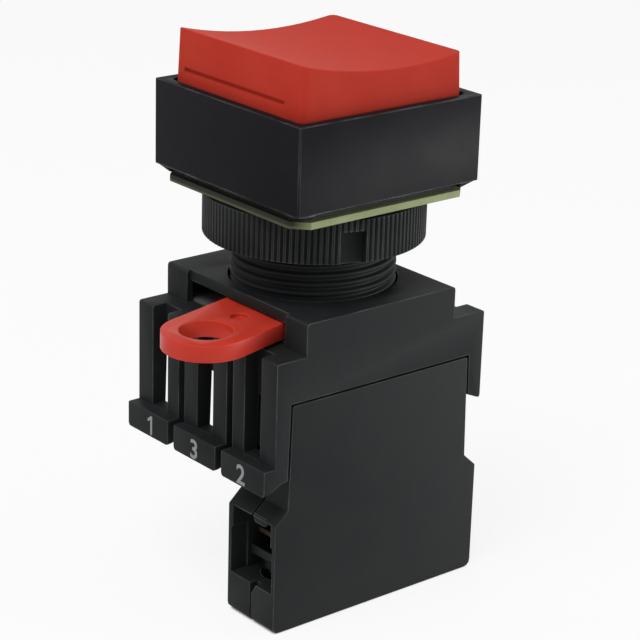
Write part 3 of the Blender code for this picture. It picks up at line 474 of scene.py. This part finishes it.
bm = bmesh.new()
bm.from_mesh(bezel_mesh)
for sx, sy in CORNERS:
    bmesh.ops.convex_hull(bm, input=[bm.verts.new((sx * x, sy * y, z)) for x, y, z in wedge])
bmesh.ops.recalc_face_normals(bm, faces=bm.faces)
bm.to_mesh(bezel_mesh)
bm.free()
bezel_mesh.shade_smooth()
print("wedges start at z in mm:", round(wedge_low / MM, 2), "faces:", len(bezel_mesh.polygons))

# %% [markdown]
# The cap's edges are already round in the solid. Its face is a shallow trough, and a bevel on top
# of that would pinch, so the cap only gets normals that are weighted by the size of each face:
# the large faces shade flat and true, and the narrow edge strips carry all of the turn.

# %% The cap
FINE_FLAT = 0.05               # in degrees, so that curved faces keep their facets
CAP_SHARP = 50.0
AREA_WEIGHT = 100              # the most that the modifier takes

cap_mesh = clean_copy("push_cap", "cap_moulding", FINE_FLAT)
cap = stand_in("cap_moulding", cap_mesh, red_cap, "push_cap")
cap_mesh.set_sharp_from_angle(angle=math.radians(CAP_SHARP))
weighted = cap.modifiers.new("face_weighted_normals", "WEIGHTED_NORMAL")
weighted.mode = "FACE_AREA"
weighted.weight = AREA_WEIGHT
weighted.keep_sharp = True
print("cap faces:", len(cap_mesh.polygons))

# %% [markdown]
# The engineering model has a plain barrel. The real one carries a fine right-hand thread, so the
# barrel is made here in two pieces. The first is the moulding with its barrel drawn in to a core:
# every point that lies at the barrel's radius moves straight inwards.

# %% The barrel's core
CORE_DEPTH = 1.0
ON_BARREL = 0.1                # a point this near to the barrel's radius is on the barrel
PAST_BARREL = 1.0              # a point further out than this is on the flange
BODY_SHARP = 35.0              # in degrees

body_mesh = clean_copy("operator_body", "operator_moulding", FINE_FLAT)
reach = [math.hypot(v.co.x, v.co.y) for v in body_mesh.vertices]
height = [v.co.z for v in body_mesh.vertices]
barrel_radius = max(r for r, z in zip(reach, height) if z < 0)
thread_low = min(z for r, z in zip(reach, height) if z < 0 and r > barrel_radius - ON_BARREL * MM)
flange_under = min(z for r, z in zip(reach, height) if r > barrel_radius + PAST_BARREL * MM)
core_radius = barrel_radius - CORE_DEPTH * MM
for vertex, radius in zip(body_mesh.vertices, reach):
    if abs(radius - barrel_radius) < ON_BARREL * MM:
        vertex.co.x *= core_radius / radius
        vertex.co.y *= core_radius / radius
stand_in("operator_moulding", body_mesh, black_nylon, "operator_body")
body_mesh.set_sharp_from_angle(angle=math.radians(BODY_SHARP))
print("radius of barrel and core in mm:", round(barrel_radius / MM, 2), round(core_radius / MM, 2))

# %% [markdown]
# The second piece is a tube round that core, and its radius follows the thread. At each height and
# angle the radius comes from how far the nearest crest is. The thread fades out over one pitch at
# both ends, as a real one does where the cutter runs out.

# %% The thread's shape
THREAD_PITCH = 1.2
THREAD_DEPTH = 0.62
FLANK = (0.28, 0.78)           # share of the way from crest to root where the flank starts and ends


def smooth_step(low, high, value):
    t = min(1.0, max(0.0, (value - low) / (high - low)))
    return t * t * (3 - 2 * t)


def thread_radius(z, turn):
    """The tube's radius at a height and a share of a turn."""
    phase = (z / (THREAD_PITCH * MM) - turn) % 1.0
    from_crest = 1.0 - abs(2.0 * phase - 1.0)
    fade = smooth_step(0.0, THREAD_PITCH * MM, min(z - thread_low, flange_under - z))
    return barrel_radius - THREAD_DEPTH * MM * smooth_step(*FLANK, from_crest) * fade


print("thread turns:", round((flange_under - thread_low) / (THREAD_PITCH * MM), 1))

# %% [markdown]
# The tube is a stack of rings, each joined to the next. The first and the last ring lie on the
# core, and joining those two as well closes the tube on its inside.

# %% The thread's tube
THREAD_STEPS_ROUND = 144
THREAD_ROWS_PER_PITCH = 12
TUBE_CLEARANCE = 0.02          # from the core to the inside of the tube
THREAD_SHARP = 60.0

bm = bmesh.new()
rows = round((flange_under - thread_low) / (THREAD_PITCH * MM) * THREAD_ROWS_PER_PITCH)
levels = [thread_low + (flange_under - thread_low) * i / rows for i in range(rows + 1)]
rings = []
for z, threaded in [(thread_low, False), *((z, True) for z in levels), (flange_under, False)]:
    ring = []
    for j in range(THREAD_STEPS_ROUND):
        turn = j / THREAD_STEPS_ROUND
        radius = thread_radius(z, turn) if threaded else core_radius + TUBE_CLEARANCE * MM
        angle = math.tau * turn
        ring.append(bm.verts.new((radius * math.cos(angle), radius * math.sin(angle), z)))
    rings.append(ring)
for low_ring, high_ring in zip(rings, rings[1:] + rings[:1]):
    for j in range(THREAD_STEPS_ROUND):
        k = (j + 1) % THREAD_STEPS_ROUND
        bm.faces.new((low_ring[j], low_ring[k], high_ring[k], high_ring[j]))
bmesh.ops.recalc_face_normals(bm, faces=bm.faces)
thread_mesh = bpy.data.meshes.new("barrel_thread")
bm.to_mesh(thread_mesh)
bm.free()
stand_in("barrel_thread", thread_mesh, black_nylon, "operator_body")
thread_mesh.set_sharp_from_angle(angle=math.radians(THREAD_SHARP))
print("faces of the tube:", len(thread_mesh.polygons))

# %% [markdown]
# Each latch tab carries the number of its contact position. The numbers are pad printed: flat
# grey ink, a few hundredths of a millimetre thick. The font's 1 has a foot, which this print
# hasn't, so that digit is an outline of its own.

# %% Curves for the digits
DIGIT_HEIGHT = 2.7
FONT_CAP_SHARE = 0.73          # height of a digit as a share of the font's size
STROKE_EXTRA = 0.07            # the pad spreads the font's thin strokes by this much on each side
ONE = ((0.62, 0.0), (0.62, 2.7), (0.32, 2.7), (-0.4, 2.15), (-0.4, 1.72), (0.2, 2.1), (0.2, 0.0))


def outline_curve(name, points):
    """A filled flat curve through the points, in mm."""
    curve = bpy.data.curves.new(name, "CURVE")
    curve.dimensions = "2D"
    curve.fill_mode = "BOTH"
    stroke = curve.splines.new("POLY")
    stroke.points.add(len(points) - 1)
    for point, (across, height) in zip(stroke.points, points):
        point.co = (across * MM, height * MM, 0.0, 1.0)
    stroke.use_cyclic_u = True
    return curve


def font_curve(name, digit):
    curve = bpy.data.curves.new(name, "FONT")
    curve.body = digit
    curve.size = DIGIT_HEIGHT / FONT_CAP_SHARE * MM
    curve.align_x = "CENTER"
    curve.offset = STROKE_EXTRA * MM
    return curve


print("digit height in mm:", DIGIT_HEIGHT)

# %% [markdown]
# A text or curve object lies flat in its own XY plane. One matrix stands all three numbers up and
# turns them to the left, where the tabs face, and the frame's boxes say where the tabs are.

# %% Numbers on the tabs
INK_THICK = 0.03
POSITION_PITCH = 10.0
TAB_MIDDLE_RISE = 1.7          # middle of the digits over the tabs' lower edge
FACING_LEFT = Matrix(((0, 0, -1), (-1, 0, 0), (0, 1, 0))).to_4x4()

tab_face, _, tab_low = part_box("mounting_adaptor")[0]
base_height = tab_low + (TAB_MIDDLE_RISE - DIGIT_HEIGHT / 2) * MM
for digit, place in (("1", POSITION_PITCH), ("3", 0.0), ("2", -POSITION_PITCH)):
    name = "position_digit_" + digit
    curve = outline_curve(name, ONE) if digit == "1" else font_curve(name, digit)
    curve.extrude = INK_THICK * MM / 2
    number = bpy.data.objects.new(name, curve)
    bpy.context.scene.collection.objects.link(number)
    number.matrix_world = Matrix.Translation((tab_face, place * MM, base_height)) @ FACING_LEFT
    curve.materials.append(pad_ink)
    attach(number, body_of["mounting_adaptor"])
    print("number", digit, "at y in mm:", place)

# %% [markdown]
# Three coil springs work inside: one under the cap, one under the contact slider, and a small one
# that presses the moving bridge. A spring doesn't slide, it gets shorter while one of its ends
# stays put. Here each one only gets a copy of its own in spring wire, which moves with its body as
# a whole.

for node, joint, low_end_fixed in (("return_spring", "push_slide", True),
                                   ("contact_spring", "slider_slide", True),
                                   ("pressure_spring", "bridge_slide", False)):
    coil = stand_in(node + "_coil", nodes[node].data.copy(), spring_wire, node)
    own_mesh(coil)

# %% [markdown]
# The other solids are small or hidden, so they keep their own meshes and only change finish. The
# plunger, the pusher and the slider are acetal, because they have to slide without grease.

# %% Finishes for the solids that stay
FINISH = {
    "panel_gasket": olive_rubber,
    "plunger": white_acetal,
    "plunger_clip": spring_wire,
    "plunger_seal": black_rubber,
    "lever_retainer": grey_nylon,
    "pusher_plate": white_acetal,
    "contact_slider": white_acetal,
    "bridge_contact": brass_tarnish_and_shade,
    "fixed_contact_left": brass_tarnish_and_shade,
    "fixed_contact_right": brass_tarnish_and_shade,
    "clamp_plate_left": dark_steel,
    "clamp_plate_right": dark_steel,
    "terminal_screw_left": dark_steel,
    "terminal_screw_right": dark_steel,
}
for node, material in FINISH.items():
    own_materials = nodes[node].data.materials
    own_materials.clear()
    own_materials.append(material)
print("solids kept:", len(FINISH))

# %% [markdown]
# The studio is a pale floor under a white sky. Both are nearly white where the camera sees them,
# straight or in a mirror, while the light that they scatter on the switch is of middling strength.
# So both ask what kind of ray is looking.

# %% What the camera sees directly
WHITE = (1.0, 1.0, 1.0, 1.0)


def seen_directly(tree):
    """1 for what the camera sees, straight, in a mirror or through glass, 0 for scattered light."""
    ray = add_node(tree, "ShaderNodeLightPath").outputs
    seen = maths(tree, "MAXIMUM", ray["Is Camera Ray"], ray["Is Glossy Ray"])
    return maths(tree, "MAXIMUM", seen, ray["Is Transmission Ray"])


# %% [markdown]
# The floor mixes plain paper with a white glow. It keeps a share of the switch's shadow, and all
# of it right underneath, where an ambient occlusion node finds that little light gets in.

# %% The floor
FLOOR_SIZE = 4.0               # in metres
FLOOR_BELOW = 0.1              # under the switch's lowest point
FLOOR_GLOW = 0.85              # share of plain white in the floor that the camera sees
UNDER_REACH = 8.0              # how far the floor looks for something over it
UNDER_OPEN = (0.15, 0.5)       # open share of the sky, right under the switch and beside it

floor_mesh = bpy.data.meshes.new("studio_floor")
bm = bmesh.new()
bmesh.ops.create_grid(bm, x_segments=1, y_segments=1, size=FLOOR_SIZE / 2)
bm.to_mesh(floor_mesh)
bm.free()
floor = bpy.data.objects.new("studio_floor", floor_mesh)
bpy.context.scene.collection.objects.link(floor)
floor.location.z = cad_low[2] - FLOOR_BELOW * MM
floor_paint, tree, _ = new_material("studio_floor_paper")
paper = add_node(tree, "ShaderNodeBsdfDiffuse", {"Color": linear("#f6f6f6")})
glow = add_node(tree, "ShaderNodeEmission", {"Color": WHITE, "Strength": 1.0})
above = add_node(tree, "ShaderNodeAmbientOcclusion", {"Distance": UNDER_REACH * MM}, samples=8)
beside = map_range(tree, above.outputs["AO"], *UNDER_OPEN)
lit = maths(tree, "MULTIPLY", seen_directly(tree), beside)
mixed = add_node(tree, "ShaderNodeMixShader", {
    "Fac": maths(tree, "MULTIPLY", lit, FLOOR_GLOW), 1: paper.outputs["BSDF"],
    2: glow.outputs["Emission"]})
add_node(tree, "ShaderNodeOutputMaterial", {"Surface": mixed.outputs["Shader"]})
floor_mesh.materials.append(floor_paint)
print("floor at z in mm:", round(floor.location.z / MM, 2))

# %% [markdown]
# The sky is one even colour with two strengths, one for the light it gives and one for how bright
# it looks.

# %% The sky
SKY_LIGHT = 0.45
SKY_SEEN = 1.0

world = bpy.data.worlds.new("studio_sky")
bpy.context.scene.world = world
world.use_nodes = True
tree = world.node_tree
tree.nodes.clear()
strength = map_range(tree, seen_directly(tree), 0.0, 1.0, SKY_LIGHT, SKY_SEEN)
sky = add_node(tree, "ShaderNodeBackground", {"Color": WHITE, "Strength": strength})
add_node(tree, "ShaderNodeOutputWorld", {"Surface": sky.outputs["Background"]})
print("sky strength, as light and as seen:", SKY_LIGHT, SKY_SEEN)

# %% [markdown]
# A broad key lamp hangs at the upper left and a weaker one stands low on the right. Beside that
# one stands a large card which only shows in gloss: it draws the sheen on the wide black faces and
# leaves the colours alone.

# %% The lamps
AIM = Vector((0.0, 0.0, -17.0)) * MM


def direction_to(azimuth, elevation):
    """From the switch to a lamp or camera; azimuth 0 stands at -Y and -90 at -X."""
    a, e = math.radians(azimuth), math.radians(elevation)
    return Vector((math.sin(a) * math.cos(e), -math.cos(a) * math.cos(e), math.sin(e)))


def lamp(name, azimuth, elevation, distance, size, watts, in_gloss_only=False):
    """A rectangular area lamp, size and distance in metres, that looks at the switch."""
    data = bpy.data.lights.new(name, "AREA")
    data.shape = "RECTANGLE"
    data.size, data.size_y = size
    data.energy = watts
    item = bpy.data.objects.new(name, data)
    direction = direction_to(azimuth, elevation)
    item.location = AIM + direction * distance
    item.rotation_euler = direction.to_track_quat("Z", "Y").to_euler()
    item.visible_diffuse = not in_gloss_only
    bpy.context.scene.collection.objects.link(item)


lamp("key_softbox", -75.0, 62.0, 0.7, (0.4, 0.4), 2.7)
lamp("right_strip", 45.0, 10.0, 0.7, (0.35, 0.3), 1.3)
lamp("sheen_card", 42.0, 6.0, 0.9, (0.8, 0.3), 8.5, in_gloss_only=True)

# %% [markdown]
# The camera stands where the photographer's stood: 40 degrees round to the left of the wide face,
# looking down by 20 degrees from 0.3 m away through a long lens. Its picture is turned by less
# than 2 degrees, so it is built from its own three axes.

# %% Camera
CAMERA_AZIMUTH, CAMERA_ELEVATION, CAMERA_ROLL = -39.979, 20.080, 1.697
CAMERA_DISTANCE, CAMERA_SHIFT_RIGHT, CAMERA_AIM_Z = 302.124, 1.160, -18.673
CAMERA_LENS = 127.264

back = direction_to(CAMERA_AZIMUTH, CAMERA_ELEVATION)
a, r = math.radians(CAMERA_AZIMUTH), math.radians(CAMERA_ROLL)
level_right = Vector((math.cos(a), math.sin(a), 0.0))
level_up = back.cross(level_right)
right = level_right * math.cos(r) + level_up * math.sin(r)
up = level_up * math.cos(r) - level_right * math.sin(r)
target = level_right * CAMERA_SHIFT_RIGHT + Vector((0.0, 0.0, CAMERA_AIM_Z))
camera_data = bpy.data.cameras.new("photographer")
camera_data.lens = CAMERA_LENS
camera_data.clip_start = 0.01
camera = bpy.data.objects.new("photographer", camera_data)
bpy.context.scene.collection.objects.link(camera)
place = Matrix.Translation((target + back * CAMERA_DISTANCE) * MM)
camera.matrix_world = place @ Matrix((right, up, back)).transposed().to_4x4()
bpy.context.scene.camera = camera
bpy.context.scene.view_settings.view_transform = "Standard"
print("camera at", [round(v / MM, 1) for v in camera.location])
